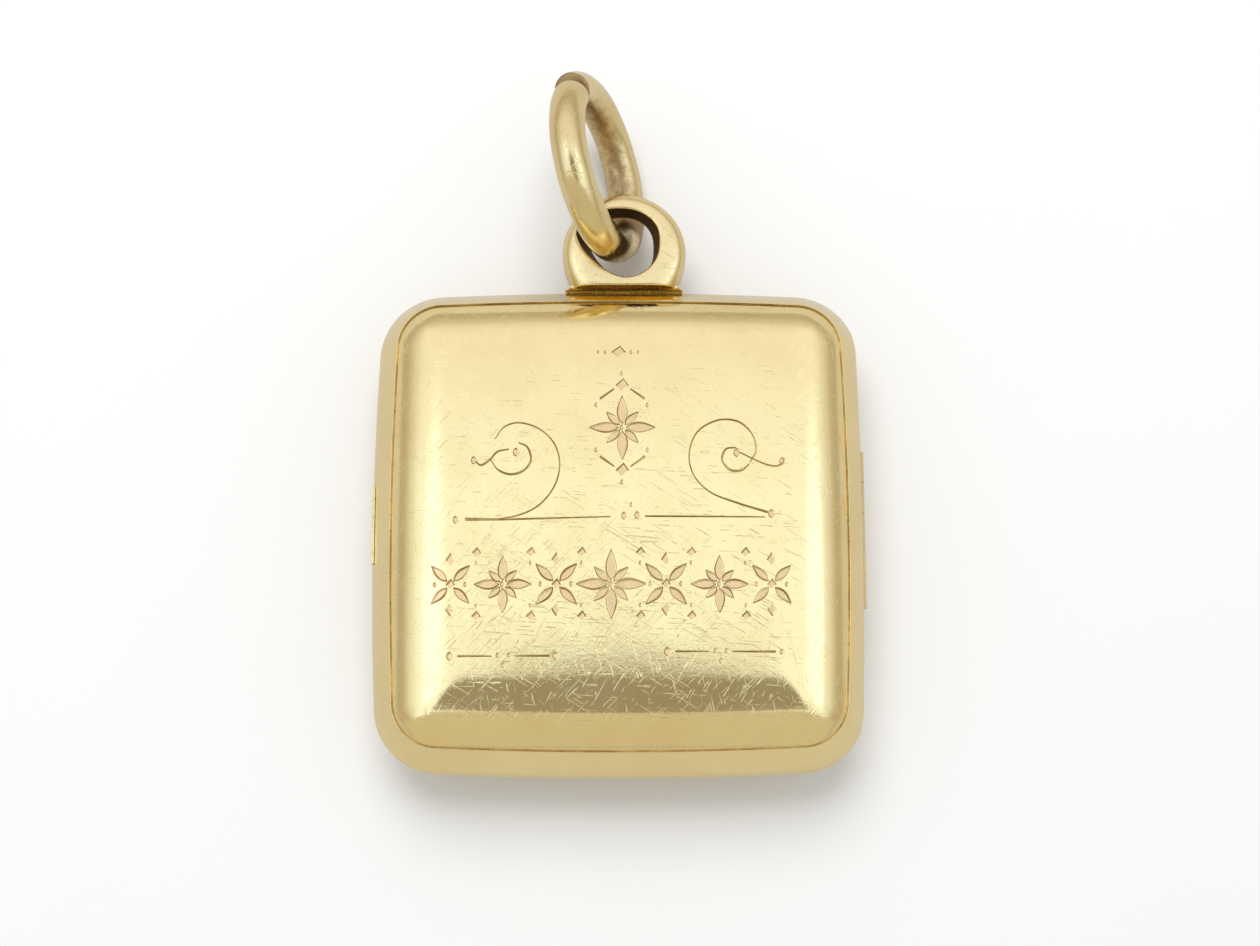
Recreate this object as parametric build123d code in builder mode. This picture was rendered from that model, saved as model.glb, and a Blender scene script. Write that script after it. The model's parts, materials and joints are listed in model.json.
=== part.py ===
"""Square gold locket with a bail loop and a loose jump ring.

The locket lies on its back: +Z is up out of the engraved front, +Y runs from
the case towards the bail, +X is the hinge side.  Origin: centre of the flat
rest panel on the underside.  Millimetres throughout.
"""
from build123d import *
from math import atan2, cos, degrees, pi, radians, sin, sqrt, tan
import os

os.makedirs("parts", exist_ok=True)

# ------------------------------------------------------------------ case size
HALF = 10.0            # half width of the case, mid side, at the seam
SIDE_R = 151.6         # radius of the faintly bowed sides
CORNER_R = 2.68        # corner radius at the seam
SEAM = 3.00            # height of the seam above the rest panel
SEAM_GAP = 0.05        # open line between the two rims
WALL = 0.45            # sheet thickness of both pans

RIM_H = 1.77           # front rim, seam to crease
RIM_IN = 0.83          # how far the front rim leans in by the crease
PILLOW_IN = 0.82       # inset of the pillow wall
PILLOW_R = 1.45        # roll of the pillow shoulder
COVER_TOP = 3.00       # crown of the front above the seam
DOME_R = 180.0         # spherical dome of the front panel

BACK_RIM_H = 1.50
BACK_RIM_IN = 0.70
BACK_PILLOW_IN = 0.74
BACK_R = 1.20

# --------------------------------------------------------------------- hinge
AXIS_X = 9.61          # hinge axis, parallel to Y, on the seam plane
KNUCKLE_R = 0.35
PIN_R = 0.17
BORE_R = 0.19          # bore of the two moving knuckles
RUN = 0.02             # running clearance round the moving knuckles
KNUCKLE_L = 1.24
KNUCKLE_PITCH = 1.29
HINGE_HALF = 3.25      # half length of the hinge seat
BEVEL = 62.0           # relief angle of each rim outboard of the axis

# -------------------------------------------------------------- snap bezel
BEZEL_UP = 0.55        # stand of the bezel above the seam
BEZEL_DOWN = 0.80      # depth soldered into the back pan
BEZEL_IN = 0.98        # inset of its inner wall
BEZEL_RUN = 0.06       # clearance of the cover over the bezel
FRAME_IN = 1.95        # inset of the photo frame openings

# ---------------------------------------------------------------- bail, ring
BAIL_X, BAIL_Y = 0.21, 11.62
BAIL_R = 2.55
BAIL_TOP, BAIL_BOTTOM = 0.80, -0.70     # relative to the seam
BAIL_CLEAR_Y = 10.06   # nothing of the bail comes below this above the seam
BAIL_EDGE = 0.42
BAIL_ROLL = (7.528, 0.80, 2.612)        # hollow under the loop: centre y, centre z, radius
# worn, lopsided hole of the loop, once round
HOLE = [(-1.774, 12.30), (-1.43, 11.60), (-1.00, 11.16), (-0.412, 10.70), (0.274, 10.49), (0.82, 10.61),
        (1.25, 10.92), (1.56, 11.379), (1.66, 11.995), (1.567, 12.612), (1.25, 13.03), (0.736, 13.32),
        (0.20, 13.42), (-0.36, 13.40), (-0.97, 13.24), (-1.52, 12.87)]
HOLE_LEAN = (0.12, 0.11)                # how far the hole drifts from front to back
HOLE_TAPER = (0.78, 0.97)               # size of the back opening against the front, across and along
FOOT_HALF = 2.44       # half width of the soldered foot
FOOT_TOP = 10.36
FOOT_FLARE = 0.42      # hollow of the foot at each side

RING_C = (-0.8861, 15.1689, SEAM + 0.8402)
RING_N = (0.9261, 0.1419, 0.3497)
RING_R = 3.304         # wire centreline
WIRE_R = 0.740

# corner-arc centre, from tangency with the bowed sides
_k = SIDE_R - HALF
CORNER_C = (-2 * _k + sqrt(4 * _k * _k - 8 * (_k * _k - (SIDE_R - CORNER_R) ** 2))) / 4
TANGENT = atan2(CORNER_C, CORNER_C + _k)


def outline(z, inset):
    """Eight tangent arcs, inset evenly, as a face at height z above the seam."""
    rs, rc = SIDE_R - inset, CORNER_R - inset
    sx, sy = rs * cos(TANGENT) - _k, rs * sin(TANGENT)
    m = CORNER_C + rc * cos(pi / 4)
    e = HALF - inset
    with BuildSketch(Plane.XY.offset(SEAM + z)) as sk:
        with BuildLine():
            ThreePointArc((sx, -sy), (e, 0), (sx, sy))
            ThreePointArc((sx, sy), (m, m), (sy, sx))
            ThreePointArc((sy, sx), (0, e), (-sy, sx))
            ThreePointArc((-sy, sx), (-m, m), (-sx, sy))
            ThreePointArc((-sx, sy), (-e, 0), (-sx, -sy))
            ThreePointArc((-sx, -sy), (-m, -m), (-sy, -sx))
            ThreePointArc((-sy, -sx), (0, -e), (sy, -sx))
            ThreePointArc((sy, -sx), (m, -m), (sx, -sy))
        make_face()
    return sk.sketch.face()


def slab(z0, z1, mode):
    """A level slab of space between two heights above the seam."""
    with Locations((0, 0, SEAM + z0)):
        Box(40, 60, z1 - z0, align=(Align.CENTER, Align.CENTER, Align.MIN), mode=mode)


def relief(sign, own):
    """Space cleared in one rim for the hinge: bevel outboard of the axis and
    a round seat, tight on the rim's own knuckles and free of the others."""
    t = tan(radians(BEVEL))
    with BuildSketch(Plane(origin=(AXIS_X, 8.6, SEAM), x_dir=(1, 0, 0), z_dir=(0, -1, 0))) as wedge:
        Polygon((-0.03, 0), (-0.03, -0.2 * sign), (1.2, -0.2 * sign), (1.2, sign * 1.2 * t), align=None)
    extrude(wedge.sketch, amount=17.2, mode=Mode.SUBTRACT)
    for i in range(-2, 3):
        mine = i in own
        r = KNUCKLE_R if mine else KNUCKLE_R + RUN
        length = KNUCKLE_L if mine else KNUCKLE_PITCH + 0.01
        with Locations(Location((AXIS_X, i * KNUCKLE_PITCH, SEAM), (90, 0, 0))):
            Cylinder(r, length, mode=Mode.SUBTRACT)


CASE_KNUCKLES = (-2, 0, 2)
COVER_KNUCKLES = (-1, 1)

# ------------------------------------------------- hollow space of each half
with BuildPart() as back_bowl:
    extrude(outline(-SEAM + WALL, BACK_PILLOW_IN + WALL), amount=SEAM - WALL - 0.6)
    fillet(back_bowl.faces().sort_by(Axis.Z)[0].edges(), BACK_R - WALL + 0.05)

with BuildPart() as back_space:
    loft([outline(-SEAM_GAP / 2, WALL), outline(0.30, WALL)], ruled=True)
    loft([outline(-SEAM_GAP / 2, WALL), outline(-BACK_RIM_H / 2, 0.30 + WALL),
          outline(-BACK_RIM_H + WALL, 0.47 + WALL)])
    add(back_bowl.part)

with BuildPart() as cover_bowl:
    extrude(outline(0.6, PILLOW_IN + WALL), amount=4)
    with Locations((0, 0, SEAM + COVER_TOP - DOME_R)):
        Sphere(DOME_R - WALL, mode=Mode.INTERSECT)
    fillet(cover_bowl.faces().sort_by(Axis.Z)[-1].edges(), PILLOW_R - WALL)

with BuildPart() as cover_space:
    loft([outline(-0.30, WALL), outline(SEAM_GAP / 2, WALL)], ruled=True)
    loft([outline(SEAM_GAP / 2, WALL), outline(RIM_H / 2, 0.37 + WALL), outline(RIM_H - WALL, 0.60 + WALL)])
    add(cover_bowl.part)

# ---------------------------------------------------------------- back half
with BuildPart() as back_pillow:
    extrude(outline(-SEAM, BACK_PILLOW_IN), amount=SEAM - 0.9)
    fillet(back_pillow.faces().sort_by(Axis.Z)[0].edges(), BACK_R)

with BuildPart() as back_outer:
    loft([outline(-SEAM_GAP / 2, 0.03), outline(-SEAM_GAP / 2 - 0.05, 0.0)], ruled=True)
    loft([outline(-SEAM_GAP / 2 - 0.05, 0.0), outline(-BACK_RIM_H / 2, 0.30), outline(-BACK_RIM_H, BACK_RIM_IN)])
    add(back_pillow.part)

with BuildPart() as back_case:
    add(back_outer.part)
    add(back_space.part, mode=Mode.SUBTRACT)
    relief(-1, CASE_KNUCKLES)

# --------------------------------------------------------------- front cover
with BuildPart() as cover_pillow:
    extrude(outline(0.8, PILLOW_IN), amount=4)
    with Locations((0, 0, SEAM + COVER_TOP - DOME_R)):
        Sphere(DOME_R, mode=Mode.INTERSECT)
    fillet(cover_pillow.faces().sort_by(Axis.Z)[-1].edges(), PILLOW_R)

with BuildPart() as cover_outer:
    loft([outline(SEAM_GAP / 2, 0.03), outline(SEAM_GAP / 2 + 0.05, 0.0)], ruled=True)
    loft([outline(SEAM_GAP / 2 + 0.05, 0.0), outline(RIM_H / 2, 0.37), outline(RIM_H, RIM_IN - 0.05)])
    add(cover_pillow.part)

with BuildPart() as front_cover:
    add(cover_outer.part)
    add(cover_space.part, mode=Mode.SUBTRACT)
    relief(1, COVER_KNUCKLES)

# small lip under the thumb on the opening side
with BuildPart() as thumb_lip:
    extrude(outline(SEAM_GAP / 2, -0.02), amount=0.26)
    with Locations((-HALF, 0.2, SEAM + 0.2)):
        Box(1.2, 3.2, 2, mode=Mode.INTERSECT)
    add(cover_outer.part, mode=Mode.SUBTRACT)
    extrude(outline(-1, 0.3), amount=3, mode=Mode.SUBTRACT)

# ---------------------------------------------------------------- snap bezel
with BuildPart() as snap_bezel:
    add(back_space.part)
    slab(-BEZEL_DOWN, -SEAM_GAP / 2, Mode.INTERSECT)
    extrude(outline(-0.10, WALL + BEZEL_RUN), amount=0.10)
    loft([outline(0.0, WALL + BEZEL_RUN), outline(BEZEL_UP, WALL + BEZEL_RUN + 0.24)])
    extrude(outline(-2, BEZEL_IN), amount=4, mode=Mode.SUBTRACT)
    with Locations((HALF, 0, SEAM)):
        Box(2.8, 2 * HINGE_HALF + 0.1, 4, mode=Mode.SUBTRACT)

# --------------------------------------------------------------------- hinge
with BuildPart() as case_hinge_bearer:
    add(back_space.part)
    slab(-BEZEL_DOWN + 0.05, -SEAM_GAP / 2, Mode.INTERSECT)
    with Locations((9.03, 0, SEAM)):
        Box(2, 2 * HINGE_HALF, 4, align=(Align.MIN, Align.CENTER, Align.CENTER), mode=Mode.INTERSECT)
    relief(-1, CASE_KNUCKLES)

with BuildPart() as cover_hinge_bearer:
    add(cover_space.part)
    slab(SEAM_GAP / 2, 0.60, Mode.INTERSECT)
    with Locations((9.03, 0, SEAM)):
        Box(2, 2 * HINGE_HALF, 4, align=(Align.MIN, Align.CENTER, Align.CENTER), mode=Mode.INTERSECT)
    relief(1, COVER_KNUCKLES)


def knuckle(i, bore):
    """One hinge tube, numbered from the middle of the hinge."""
    with Locations(Location((AXIS_X, i * KNUCKLE_PITCH, SEAM), (90, 0, 0))):
        Cylinder(KNUCKLE_R, KNUCKLE_L)
        Cylinder(bore, KNUCKLE_L + 1, mode=Mode.SUBTRACT)


with BuildPart() as case_knuckle_lower:
    knuckle(-2, PIN_R)
with BuildPart() as cover_knuckle_lower:
    knuckle(-1, BORE_R)
with BuildPart() as case_knuckle_middle:
    knuckle(0, PIN_R)
with BuildPart() as cover_knuckle_upper:
    knuckle(1, BORE_R)
with BuildPart() as case_knuckle_upper:
    knuckle(2, PIN_R)

with BuildPart() as hinge_pin:
    with Locations(Location((AXIS_X, 0, SEAM), (90, 0, 0))):
        Cylinder(PIN_R, 4 * KNUCKLE_PITCH + KNUCKLE_L)

# ------------------------------------------------- photo frames and fillings
with BuildPart() as back_photo_frame:
    extrude(outline(-BEZEL_DOWN, BEZEL_IN), amount=0.65)
    chamfer(back_photo_frame.faces().sort_by(Axis.Z)[-1].edges(), 0.18)
    extrude(outline(-2, FRAME_IN), amount=3, mode=Mode.SUBTRACT)

with BuildPart() as back_crystal:
    add(back_space.part)
    slab(-1.15, -BEZEL_DOWN, Mode.INTERSECT)
with BuildPart() as back_picture:
    add(back_space.part)
    slab(-1.30, -1.15, Mode.INTERSECT)
with BuildPart() as back_padding:
    add(back_space.part)
    slab(-SEAM, -1.30, Mode.INTERSECT)

with BuildPart() as front_photo_frame:
    add(cover_space.part)
    slab(0.63, 0.95, Mode.INTERSECT)
    extrude(outline(-2, FRAME_IN), amount=5, mode=Mode.SUBTRACT)
with BuildPart() as front_crystal:
    add(cover_space.part)
    slab(0.95, 1.22, Mode.INTERSECT)
with BuildPart() as front_picture:
    add(cover_space.part)
    slab(1.22, 1.34, Mode.INTERSECT)
with BuildPart() as front_padding:
    add(cover_space.part)
    slab(1.34, 4.0, Mode.INTERSECT)

# ----------------------------------------------------------------- bail loop
def clear_of_cover():
    """Keep the bail and its foot out of the moving cover's sweep."""
    with Locations((0, BAIL_CLEAR_Y, SEAM - SEAM_GAP)):
        Box(8, 4, 3, align=(Align.CENTER, Align.MAX, Align.MIN), mode=Mode.SUBTRACT)


def hollow_under():
    """Roll the metal down from the front of the loop to the seam."""
    y, z, r = BAIL_ROLL
    with Locations(Location((0, y, SEAM + z), (0, 90, 0))):
        Cylinder(r, 8, mode=Mode.SUBTRACT)


def hole_outline(z, grow=(1.0, 1.0), shift=(0.0, 0.0)):
    """Outline of the hole as a face at height z above the seam."""
    cx = sum(p[0] for p in HOLE) / len(HOLE)
    cy = sum(p[1] for p in HOLE) / len(HOLE)
    with BuildSketch(Plane.XY.offset(SEAM + z)) as sk:
        with BuildLine():
            Spline(*[(cx + (x - cx) * grow[0] + shift[0], cy + (y - cy) * grow[1] + shift[1]) for x, y in HOLE],
                   periodic=True)
        make_face()
    return sk.sketch.face()


# low saddle the loop is soldered into, on the back rim
with BuildPart() as bail_foot:
    with Locations((BAIL_X, FOOT_TOP, SEAM + BAIL_BOTTOM + 0.10)):
        Box(2 * FOOT_HALF, 1.2, 1.10, align=(Align.CENTER, Align.MAX, Align.MIN))
    with Locations((BAIL_X - FOOT_HALF - 0.04, FOOT_TOP + 0.05), (BAIL_X + FOOT_HALF + 0.04, FOOT_TOP + 0.05)):
        Cylinder(FOOT_FLARE * 0.8, 12, mode=Mode.SUBTRACT)
    clear_of_cover()
    hollow_under()
    with Locations((BAIL_X, BAIL_Y, SEAM)):
        Cylinder(BAIL_R - 0.06, 6, mode=Mode.SUBTRACT)
    add(back_outer.part, mode=Mode.SUBTRACT)

with BuildPart() as bail_loop:
    with Locations((BAIL_X, BAIL_Y, SEAM + BAIL_BOTTOM)):
        Cylinder(BAIL_R, BAIL_TOP - BAIL_BOTTOM, align=(Align.CENTER, Align.CENTER, Align.MIN))
    fillet(bail_loop.faces().sort_by(Axis.Z)[-1].edges(), BAIL_EDGE)
    fillet(bail_loop.faces().sort_by(Axis.Z)[0].edges(), 0.25)
    loft([hole_outline(BAIL_TOP), hole_outline(BAIL_BOTTOM, HOLE_TAPER, HOLE_LEAN)],
         mode=Mode.SUBTRACT)
    fillet(bail_loop.faces().sort_by(Axis.Z)[-1].edges().sort_by(Axis.Y)[1:], 0.10)
    clear_of_cover()
    hollow_under()
    add(back_outer.part, mode=Mode.SUBTRACT)
    add(bail_foot.part, mode=Mode.SUBTRACT)

# ----------------------------------------------------------------- jump ring
ring_plane = Plane(origin=RING_C, x_dir=(0, RING_N[2], -RING_N[1]), z_dir=RING_N)
JOINT_AT = 56.0        # direction of the open joint in the ring plane, degrees
JOINT_HALF = 1.5       # half width of the open line, degrees
with BuildPart() as jump_ring:
    with BuildLine(ring_plane) as ring_path:
        CenterArc((0, 0), RING_R, JOINT_AT + JOINT_HALF, 360 - 2 * JOINT_HALF)
    with BuildSketch(Plane(origin=ring_path.line @ 0, z_dir=ring_path.line % 0)):
        Circle(WIRE_R)
    sweep()

NODES = {
    "back_case": back_case,
    "snap_bezel": snap_bezel,
    "case_hinge_bearer": case_hinge_bearer,
    "case_knuckle_upper": case_knuckle_upper,
    "case_knuckle_middle": case_knuckle_middle,
    "case_knuckle_lower": case_knuckle_lower,
    "hinge_pin": hinge_pin,
    "bail_loop": bail_loop,
    "bail_foot": bail_foot,
    "back_photo_frame": back_photo_frame,
    "back_crystal": back_crystal,
    "back_picture": back_picture,
    "back_padding": back_padding,
    "front_cover": front_cover,
    "thumb_lip": thumb_lip,
    "cover_hinge_bearer": cover_hinge_bearer,
    "cover_knuckle_upper": cover_knuckle_upper,
    "cover_knuckle_lower": cover_knuckle_lower,
    "front_photo_frame": front_photo_frame,
    "front_crystal": front_crystal,
    "front_picture": front_picture,
    "front_padding": front_padding,
    "jump_ring": jump_ring,
}
for node, made in NODES.items():
    made.part.label = node
    export_step(made.part, f"parts/{node}.step")
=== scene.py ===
import json
import math

import bpy
import numpy as np
from mathutils import Matrix, Vector
from mathutils.geometry import delaunay_2d_cdt


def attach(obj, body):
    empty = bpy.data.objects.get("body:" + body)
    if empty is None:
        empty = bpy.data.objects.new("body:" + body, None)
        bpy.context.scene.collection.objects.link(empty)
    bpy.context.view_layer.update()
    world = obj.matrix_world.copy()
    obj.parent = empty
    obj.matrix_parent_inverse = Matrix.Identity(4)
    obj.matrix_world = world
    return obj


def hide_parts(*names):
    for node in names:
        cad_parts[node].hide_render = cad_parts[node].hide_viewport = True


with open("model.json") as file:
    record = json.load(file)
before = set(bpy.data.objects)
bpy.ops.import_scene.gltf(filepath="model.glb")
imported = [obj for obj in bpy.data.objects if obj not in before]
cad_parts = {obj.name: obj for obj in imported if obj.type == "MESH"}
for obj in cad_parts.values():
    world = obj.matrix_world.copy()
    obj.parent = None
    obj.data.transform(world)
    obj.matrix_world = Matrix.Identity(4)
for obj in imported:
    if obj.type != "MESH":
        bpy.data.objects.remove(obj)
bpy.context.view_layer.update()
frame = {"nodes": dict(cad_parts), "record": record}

MM = 0.001
SEAM = 3.0
scene = bpy.context.scene


# ------------------------------------------------------------------ node help
class Nodes:
    """A small wrapper for building shader graphs."""

    def __init__(self, tree):
        self.t = tree
        tree.nodes.clear()

    def new(self, kind, **props):
        n = self.t.nodes.new(kind)
        for k, v in props.items():
            setattr(n, k, v)
        return n

    def put(self, sock, value):
        if isinstance(value, bpy.types.NodeSocket):
            self.t.links.new(value, sock)
        else:
            sock.default_value = value

    def math(self, op, a, b=0.0, c=0.0, clamp=False):
        n = self.new("ShaderNodeMath", operation=op, use_clamp=clamp)
        for s, v in zip(n.inputs, (a, b, c)):
            self.put(s, v)
        return n.outputs[0]

    def vmath(self, op, a, b=(0, 0, 0), scale=None):
        n = self.new("ShaderNodeVectorMath", operation=op)
        self.put(n.inputs[0], a)
        self.put(n.inputs[1], b)
        if scale is not None:
            self.put(n.inputs["Scale"], scale)
        return n.outputs["Value"] if op in ("DOT_PRODUCT", "LENGTH", "DISTANCE") else n.outputs[0]

    def ramp(self, x, a, b, lo=0.0, hi=1.0, smooth=True):
        n = self.new("ShaderNodeMapRange", interpolation_type="SMOOTHSTEP" if smooth else "LINEAR", clamp=True)
        for s, v in zip(n.inputs[:5], (x, a, b, lo, hi)):
            self.put(s, v)
        return n.outputs[0]

    def mix(self, fac, a, b, mode="MIX"):
        n = self.new("ShaderNodeMix", data_type="RGBA", blend_type=mode)
        self.put(n.inputs[0], fac)
        self.put(n.inputs[6], a)
        self.put(n.inputs[7], b)
        return n.outputs[2]

    def noise(self, vec, scale, detail=4.0, rough=0.55, dist=0.0):
        n = self.new("ShaderNodeTexNoise", noise_dimensions="3D")
        self.put(n.inputs["Vector"], vec)
        self.put(n.inputs["Scale"], scale)
        self.put(n.inputs["Detail"], detail)
        self.put(n.inputs["Roughness"], rough)
        self.put(n.inputs["Distortion"], dist)
        return n.outputs["Fac"]

    def scaled(self, vec, s, rot=(0, 0, 0)):
        n = self.new("ShaderNodeMapping")
        self.put(n.inputs["Vector"], vec)
        n.inputs["Scale"].default_value = s
        n.inputs["Rotation"].default_value = rot
        return n.outputs[0]


def rgb(r, g, b):
    return (r, g, b, 1.0)


def material(name, build):
    m = bpy.data.materials.new(name)
    m.use_nodes = True
    g = Nodes(m.node_tree)
    out = g.new("ShaderNodeOutputMaterial")
    p = g.new("ShaderNodeBsdfPrincipled")
    g.t.links.new(p.outputs[0], out.inputs["Surface"])
    build(g, p)
    return m


def gold(name, base, deep, rough, scratch=1.0, darkening=0.0, mark=None, haze_r=0.05, fine_r=0.04):
    """Worn gold: tone drift, soft haze, fine hairline scratches and a darker colour in concave hollows."""

    def build(g, p):
        pos = g.new("ShaderNodeTexCoord").outputs["Object"]
        mm = g.vmath("SCALE", pos, scale=1000.0)
        cloud = g.noise(mm, 0.35, 3.0)
        fine = g.noise(mm, 5.0, 6.0, 0.7)
        haze = g.ramp(cloud, 0.35, 0.7)
        tone = g.mix(g.math("MULTIPLY", haze, 0.5), rgb(*base), rgb(*deep))
        # three families of hairlines, each a noise stretched along its own direction
        lines = None
        for k, (ang, stretch, scale) in enumerate(((0.55, 24.0, 13.0), (-0.80, 30.0, 16.0), (1.35, 20.0, 11.0), (2.10, 26.0, 14.0), (0.05, 22.0, 12.0))):
            v = g.scaled(g.scaled(mm, (1.0, 1.0, 1.0), (0, 0, ang)), (1.0, stretch, 1.0))
            n = g.noise(v, scale / stretch, 2.0, 0.5)
            cut = g.ramp(n, 0.61, 0.70)
            broken = g.ramp(g.noise(mm, 1.1 + 0.23 * k, 2.0), 0.44, 0.62)
            cut = g.math("MULTIPLY", cut, broken)
            lines = cut if lines is None else g.math("MAXIMUM", lines, cut)
        r = g.math("ADD", rough, g.math("MULTIPLY", haze, haze_r))
        r = g.math("ADD", r, g.math("MULTIPLY", lines, 0.10 * scratch))
        r = g.math("ADD", r, g.math("MULTIPLY", fine, fine_r))
        col = g.mix(g.math("MULTIPLY", lines, 0.10 * scratch), tone, rgb(deep[0] * 0.8, deep[1] * 0.75, deep[2] * 0.6))
        if darkening:
            # darker colour where the surface is concave, by pointiness alone
            geo = g.new("ShaderNodeNewGeometry")
            hollow = g.ramp(geo.outputs["Pointiness"], 0.49, 0.44)
            hollow_dark = g.math("MULTIPLY", hollow, darkening)
            col = g.mix(hollow_dark, col, rgb(0.09, 0.05, 0.02))
            r = g.math("ADD", r, g.math("MULTIPLY", hollow_dark, 0.3))
        if mark is not None:
            a = g.new("ShaderNodeAttribute", attribute_name="cut")
            col, r = mark(g, a.outputs["Fac"], mm, col, r)
        bump = g.new("ShaderNodeBump")
        bump.inputs["Strength"].default_value = 0.35 * scratch
        bump.inputs["Distance"].default_value = 0.00001
        g.put(bump.inputs["Height"], g.math("SUBTRACT", g.math("MULTIPLY", fine, 0.5), lines))
        g.put(p.inputs["Normal"], bump.outputs[0])
        g.put(p.inputs["Base Color"], col)
        g.put(p.inputs["Roughness"], r)
        p.inputs["Metallic"].default_value = 1.0

    return material(name, build)


GOLD = (0.90, 0.735, 0.365)
GOLD_DEEP = (0.84, 0.655, 0.30)
m_polished = gold("gold_polished", GOLD, GOLD_DEEP, 0.11)
m_satin = gold("gold_satin", (0.86, 0.70, 0.35), (0.76, 0.58, 0.27), 0.20, 1.4, 0.8)
m_inner = gold("gold_inner", (0.84, 0.62, 0.29), (0.72, 0.50, 0.22), 0.3, 1.2, 0.5)


def b_glass(g, p):
    pos = g.new("ShaderNodeTexCoord").outputs["Object"]
    n = g.noise(pos, 600.0, 3.0)
    g.put(p.inputs["Roughness"], g.ramp(n, 0.3, 0.8, 0.02, 0.10))
    g.put(p.inputs["Base Color"], g.mix(n, rgb(0.97, 0.98, 0.97), rgb(0.90, 0.94, 0.93)))
    p.inputs["Metallic"].default_value = 1.0
    # clear sheet: only the reflected share is kept, the rest passes straight through
    fresnel = g.new("ShaderNodeFresnel")
    fresnel.inputs["IOR"].default_value = 1.48
    smear = g.ramp(g.noise(pos, 240.0, 4.0), 0.45, 0.75, 0.0, 0.05)
    g.put(p.inputs["Alpha"], g.math("MINIMUM", g.math("ADD", fresnel.outputs[0], smear), 1.0))


def b_paper(g, p):
    pos = g.new("ShaderNodeTexCoord").outputs["Object"]
    n = g.noise(pos, 260.0, 5.0)
    f = g.noise(pos, 4000.0, 3.0)
    g.put(p.inputs["Base Color"], g.mix(g.ramp(n, 0.35, 0.7), rgb(0.88, 0.80, 0.64), rgb(0.74, 0.63, 0.46)))
    g.put(p.inputs["Roughness"], g.ramp(f, 0.2, 0.8, 0.65, 0.9))
    b = g.new("ShaderNodeBump")
    b.inputs["Distance"].default_value = 0.00002
    g.put(b.inputs["Height"], f)
    g.put(p.inputs["Normal"], b.outputs[0])


def b_velvet(g, p):
    pos = g.new("ShaderNodeTexCoord").outputs["Object"]
    n = g.noise(pos, 500.0, 4.0)
    f = g.noise(pos, 9000.0, 2.0)
    g.put(p.inputs["Base Color"], g.mix(n, rgb(0.16, 0.02, 0.03), rgb(0.30, 0.05, 0.06)))
    g.put(p.inputs["Roughness"], g.ramp(f, 0.2, 0.8, 0.8, 1.0))
    p.inputs["Sheen Weight"].default_value = 0.6
    b = g.new("ShaderNodeBump")
    b.inputs["Distance"].default_value = 0.00005
    g.put(b.inputs["Height"], f)
    g.put(p.inputs["Normal"], b.outputs[0])


m_glass = material("crystal", b_glass)
m_paper = material("picture_paper", b_paper)
m_velvet = material("velvet", b_velvet)
LOOK = {"gold_polished": m_polished, "gold_satin": m_satin, "gold_inner": m_inner,
        "crystal": m_glass, "picture_paper": m_paper, "velvet": m_velvet}
slots = {s["node"]: s["material_slot"] for s in frame["record"]["subparts"]}
for name, o in frame["nodes"].items():
    o.data.materials.clear()
    o.data.materials.append(LOOK[slots[name]])

# ------------------------------------------------------------ engraved cover
# Case outline: eight tangent arcs, as in the CAD (millimetres, case centre at 0, 0).
HALF, SIDE_R, CORNER_R = 10.0, 151.6, 2.68
KO = SIDE_R - HALF
CC = (-2 * KO + math.sqrt(4 * KO * KO - 8 * (KO * KO - (SIDE_R - CORNER_R) ** 2))) / 4
TAN = math.atan2(CC, CC + KO)
DOME_R, CROWN = 180.0, 3.0
RIM_Z, RIM_IN = 1.765, 0.835
SHOULDER_0, SHOULDER_A, SHOULDER_Z = 0.87, 2.25, 1.69
AXIS_X = 9.61
PANEL = 2.30


def smooth(x, a, b):
    t = np.clip((x - a) / (b - a), 0, 1)
    return t * t * (3 - 2 * t)


def inset(x, y):
    """Distance in from the case outline."""
    x, y = np.abs(x), np.abs(y)
    side = np.minimum(SIDE_R - np.hypot(x + KO, y), SIDE_R - np.hypot(x, y + KO))
    ang = np.arctan2(y - CC, x - CC)
    corner = (x > CC) & (y > CC) & (ang > TAN) & (ang < math.pi / 2 - TAN)
    return np.where(corner, CORNER_R - np.hypot(x - CC, y - CC), side)


def dome(x, y):
    return CROWN - DOME_R + np.sqrt(DOME_R ** 2 - x * x - y * y)


# slope of the shoulder (rise per run) against the inset, and the rise it adds up to
SLOPE_D = np.array([0.87, 1.00, 1.20, 1.60, 2.00, 2.30, 2.58, 2.90, 3.30, 3.60])
SLOPE_T = np.array([1.50, 1.22, 1.00, 0.62, 0.38, 0.26, 0.18, 0.09, 0.03, 0.0])
_d = np.linspace(0.87, 3.60, 548)
_t = np.interp(_d, SLOPE_D, SLOPE_T)
_t = np.convolve(np.pad(_t, 12, mode="edge"), np.hanning(25) / np.hanning(25).sum(), mode="valid")
_rise = np.concatenate([[0.0], np.cumsum((_t[1:] + _t[:-1]) / 2 * np.diff(_d))])
_rise /= _rise[-1]


def mitred(x, y):
    """Inset that turns from round corners at the crease to nearly square ones on the panel."""
    ax, ay = np.abs(x), np.abs(y)
    sx, sy = SIDE_R - np.hypot(ax + KO, ay), SIDE_R - np.hypot(ax, ay + KO)
    k = 0.40
    h = np.clip(0.5 + 0.5 * (sy - sx) / k, 0, 1)
    m = sy * (1 - h) + sx * h - k * h * (1 - h)
    i = inset(x, y)
    w = smooth(i, 0.95, 2.1)
    return i * (1 - w) + m * w


def pillow_raw(x, y):
    return SHOULDER_Z + (dome(x, y) - SHOULDER_Z) * np.interp(mitred(x, y), _d, _rise)


GRID = np.linspace(-10.5, 10.5, 421)
gx, gy = np.meshgrid(GRID, GRID, indexing="ij")
gz = pillow_raw(gx, gy)
kern = np.exp(-0.5 * (np.arange(-28, 29) * 0.05 / 0.17) ** 2)
kern /= kern.sum()
pad = np.pad(gz, 28, mode="edge")
blur = sum(k * pad[i:i + 421, :] for i, k in enumerate(kern))
blur = sum(k * blur[:, i:i + 421] for i, k in enumerate(kern))


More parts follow.
